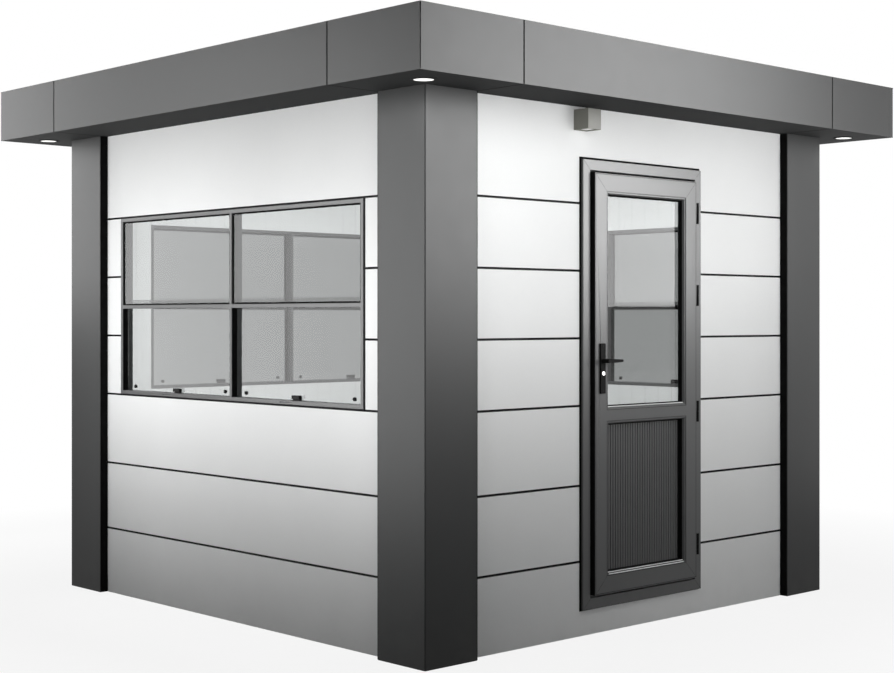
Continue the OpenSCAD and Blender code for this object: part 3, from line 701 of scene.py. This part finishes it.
def studio_floor():
    """Pale floor that keeps the shadow; as a bounce surface it is dark."""
    quarters = ((-1, -1), (1, -1), (1, 1), (-1, 1))
    corners = [(sx * FLOOR_HALF, sy * FLOOR_HALF, FLOOR_LEVEL) for sx, sy in quarters]
    mesh = bpy.data.meshes.new("studio_floor")
    mesh.from_pydata(corners, [], [(0, 1, 2, 3)])
    k = Look("studio_floor")
    x, y, z = k.axes()
    reach = k.math("SQRT", k.math("ADD", k.math("MULTIPLY", x, x), k.math("MULTIPLY", y, y)))
    cloudy = k.noise(scale=3, detail=4)
    grey = k.mix(k.span(cloudy, low=0.80, high=0.84), BLACK, WHITE)
    lit = k.add("ShaderNodeBsdfDiffuse", Color=grey)
    white = k.add("ShaderNodeEmission", Color=WHITE, Strength=1.0)
    shown = k.blend(k.span(reach, WHITE_SHARE, 1.0, SHADE_FROM, SHADE_TO), lit, white)
    dark = k.mix(cloudy, (0.025, 0.025, 0.025, 1), (0.04, 0.04, 0.04, 1))
    dull = k.add("ShaderNodeBsdfDiffuse", Color=dark)
    k.show(k.blend(background(k.tree, k.add("ShaderNodeLightPath")), dull, shown))
    mesh.materials.append(k.mat)
    floor = bpy.data.objects.new("studio_floor", mesh)
    scene.collection.objects.link(floor)


def studio_world(level):
    """White backdrop that gives the object itself only the light of level."""
    world = bpy.data.worlds.new("studio")
    world.use_nodes = True
    tree = world.node_tree
    tree.nodes.clear()
    out = tree.nodes.new("ShaderNodeOutputWorld")
    pick = tree.nodes.new("ShaderNodeMixShader")
    for socket, strength in ((1, level), (2, 1.0)):
        sky = tree.nodes.new("ShaderNodeBackground")
        sky.inputs[0].default_value = WHITE
        sky.inputs[1].default_value = strength
        tree.links.new(sky.outputs[0], pick.inputs[socket])
    tree.links.new(background(tree, tree.nodes.new("ShaderNodeLightPath")), pick.inputs[0])
    tree.links.new(pick.outputs[0], out.inputs[0])
    scene.world = world


def receivers(name, state):
    """Light group that takes in only the glass, or everything but the glass."""
    group = bpy.data.collections.new(name)
    for obj in nodes.values():
        if obj.data.materials[0] == LOOKS["glass"]:
            group.objects.link(obj)
    for item in group.collection_objects:
        item.light_linking.link_state = state
    return group


SHINE_SPREAD = math.radians(180)
LIGHT_SPREAD = math.radians(140)


def panel_lamp(name, at, facing, width, height, radiance, shine=None):
    """Soft panel; one with a shine group shows only in that group's reflections, the others only light."""
    data = bpy.data.lights.new(name, "AREA")
    data.shape = "RECTANGLE"
    data.size = width
    data.size_y = height
    data.energy = radiance * math.pi * width * height
    data.spread = SHINE_SPREAD if shine else LIGHT_SPREAD
    lamp = bpy.data.objects.new(name, data)
    lamp.location = at
    lamp.rotation_euler = facing
    lamp.visible_camera = False
    lamp.visible_diffuse = not shine
    lamp.visible_glossy = bool(shine)
    lamp.light_linking.receiver_collection = shine
    lamp.visible_transmission = False
    scene.collection.objects.link(lamp)


# Panels as (place along the wall, distance from the middle, z, width, height, radiance)
DOOR_SIDE = (
    (0.8, 2.605, 2.0, 1.8, 0.8, 1.70),
    (-1.3, 2.605, 2.8, 1.8, 0.8, 1.95),
    (-1.3, 2.605, 1.8, 1.8, 0.8, 1.63),
    (0.8, 4.005, 1.0, 2.0, 1.2, 1.9),
)
WINDOW_SIDE = (
    (0.8, 2.605, 1.55, 1.8, 1.4, 2.1),
    (-1.3, 2.605, 1.55, 1.8, 1.2, 2.05),
)
UPRIGHT = math.radians(90)
DOWN = (0, 0, 0)
DOOR_TURN = math.radians(48)
WINDOW_TURN = math.radians(-125)
DOOR_SHINE_AT = (2.23, -4.87, 2.89)
WINDOW_SHINE_AT = (-4.6, 2.15, 2.05)
DOOR_VEIL_AT = (2.3, -4.8, 2.907)
WINDOW_VEIL_AT = (-4.13, 2.85, 2.05)
BACK_SHINE = 0.25       # shine of the panels behind the booth, as a share of those in front
ROOM_PANEL_AT = (0, 0, 2.40)
ROOM_SIDE_OUT, ROOM_SIDE_Z = 1.25, 1.75
ROOF_PANEL_AT = (0, 0, 6.0)
DOWNLIGHT_SIZE = 0.07
DOWNLIGHT_Z = DOWNLIGHT_FOOT - 0.003


def opposite(at, s):
    """The place itself, or with s of -1 the one half a turn round the booth."""
    return at[0] * s, at[1] * s, at[2]


def studio_lamps():
    """Soft panels before the door wall and the window wall, with their mirror images behind."""
    glass = receivers("glass_shine", "INCLUDE")
    metal = receivers("metal_shine", "EXCLUDE")
    for s, turn, share in ((1, 0.0, 1.0), (-1, math.pi, BACK_SHINE)):
        for i, (along, away, z, *panel) in enumerate(DOOR_SIDE):
            at = opposite((along, -away, z), s)
            panel_lamp(f"door_side_{s}_{i}", at, (UPRIGHT, 0, turn), *panel)
        for i, (along, away, z, *panel) in enumerate(WINDOW_SIDE):
            at = opposite((-away, along, z), s)
            panel_lamp(f"window_side_{s}_{i}", at, (UPRIGHT, 0, turn - UPRIGHT), *panel)
        panel_lamp(f"door_shine_{s}", opposite(DOOR_SHINE_AT, s), (UPRIGHT, 0, turn + DOOR_TURN),
                   width=3.0, height=2.73, radiance=33.0 * share, shine=metal)
        panel_lamp(f"window_shine_{s}", opposite(WINDOW_SHINE_AT, s), (UPRIGHT, 0, turn + WINDOW_TURN),
                   width=2.5, height=3.7, radiance=12.6 * share, shine=metal)
    panel_lamp("door_veil", DOOR_VEIL_AT, (UPRIGHT, 0, DOOR_TURN),
               width=3.2, height=2.70, radiance=7.1, shine=glass)
    panel_lamp("window_veil", WINDOW_VEIL_AT, (UPRIGHT, 0, WINDOW_TURN),
               width=3.8, height=3.9, radiance=3.7, shine=glass)
    panel_lamp("room_panel", ROOM_PANEL_AT, DOWN, width=2.0, height=2.0, radiance=1.45)
    for i in range(4):
        turn = i * UPRIGHT
        at = (ROOM_SIDE_OUT * math.sin(turn), -ROOM_SIDE_OUT * math.cos(turn), ROOM_SIDE_Z)
        panel_lamp(f"room_side_{i}", at, (UPRIGHT, 0, turn), width=2.4, height=1.2, radiance=1.22)
    panel_lamp("roof_panel", ROOF_PANEL_AT, DOWN, width=4.0, height=4.0, radiance=1.6)
    for sx in (-1, 1):
        for sy in (-1, 1):
            at = (DOWNLIGHT_OUT * sx, DOWNLIGHT_OUT * sy, DOWNLIGHT_Z)
            panel_lamp(f"downlight_{sx}_{sy}", at, DOWN, DOWNLIGHT_SIZE, DOWNLIGHT_SIZE, radiance=40)


# Camera fitted to the photo, for a frame 36 units wide
CAMERA_PLACE = (-5.86810, -6.30558, 1.47723)
CAMERA_TURN = math.radians(-43.0973)
FRAME_WIDTH = 36.0
FOCAL_LENGTH = 63.355
FRAME_SHIFT = -0.0212


def studio_camera():
    data = bpy.data.cameras.new("camera")
    data.sensor_fit = "HORIZONTAL"
    data.sensor_width = FRAME_WIDTH
    data.lens = FOCAL_LENGTH
    data.shift_y = FRAME_SHIFT
    camera = bpy.data.objects.new("camera", data)
    camera.location = CAMERA_PLACE
    camera.rotation_euler = (UPRIGHT, 0, CAMERA_TURN)
    scene.collection.objects.link(camera)
    scene.camera = camera


studio_camera()
studio_world(BOUNCE_LIGHT)
studio_floor()
studio_lamps()
scene.view_settings.view_transform = "Standard"
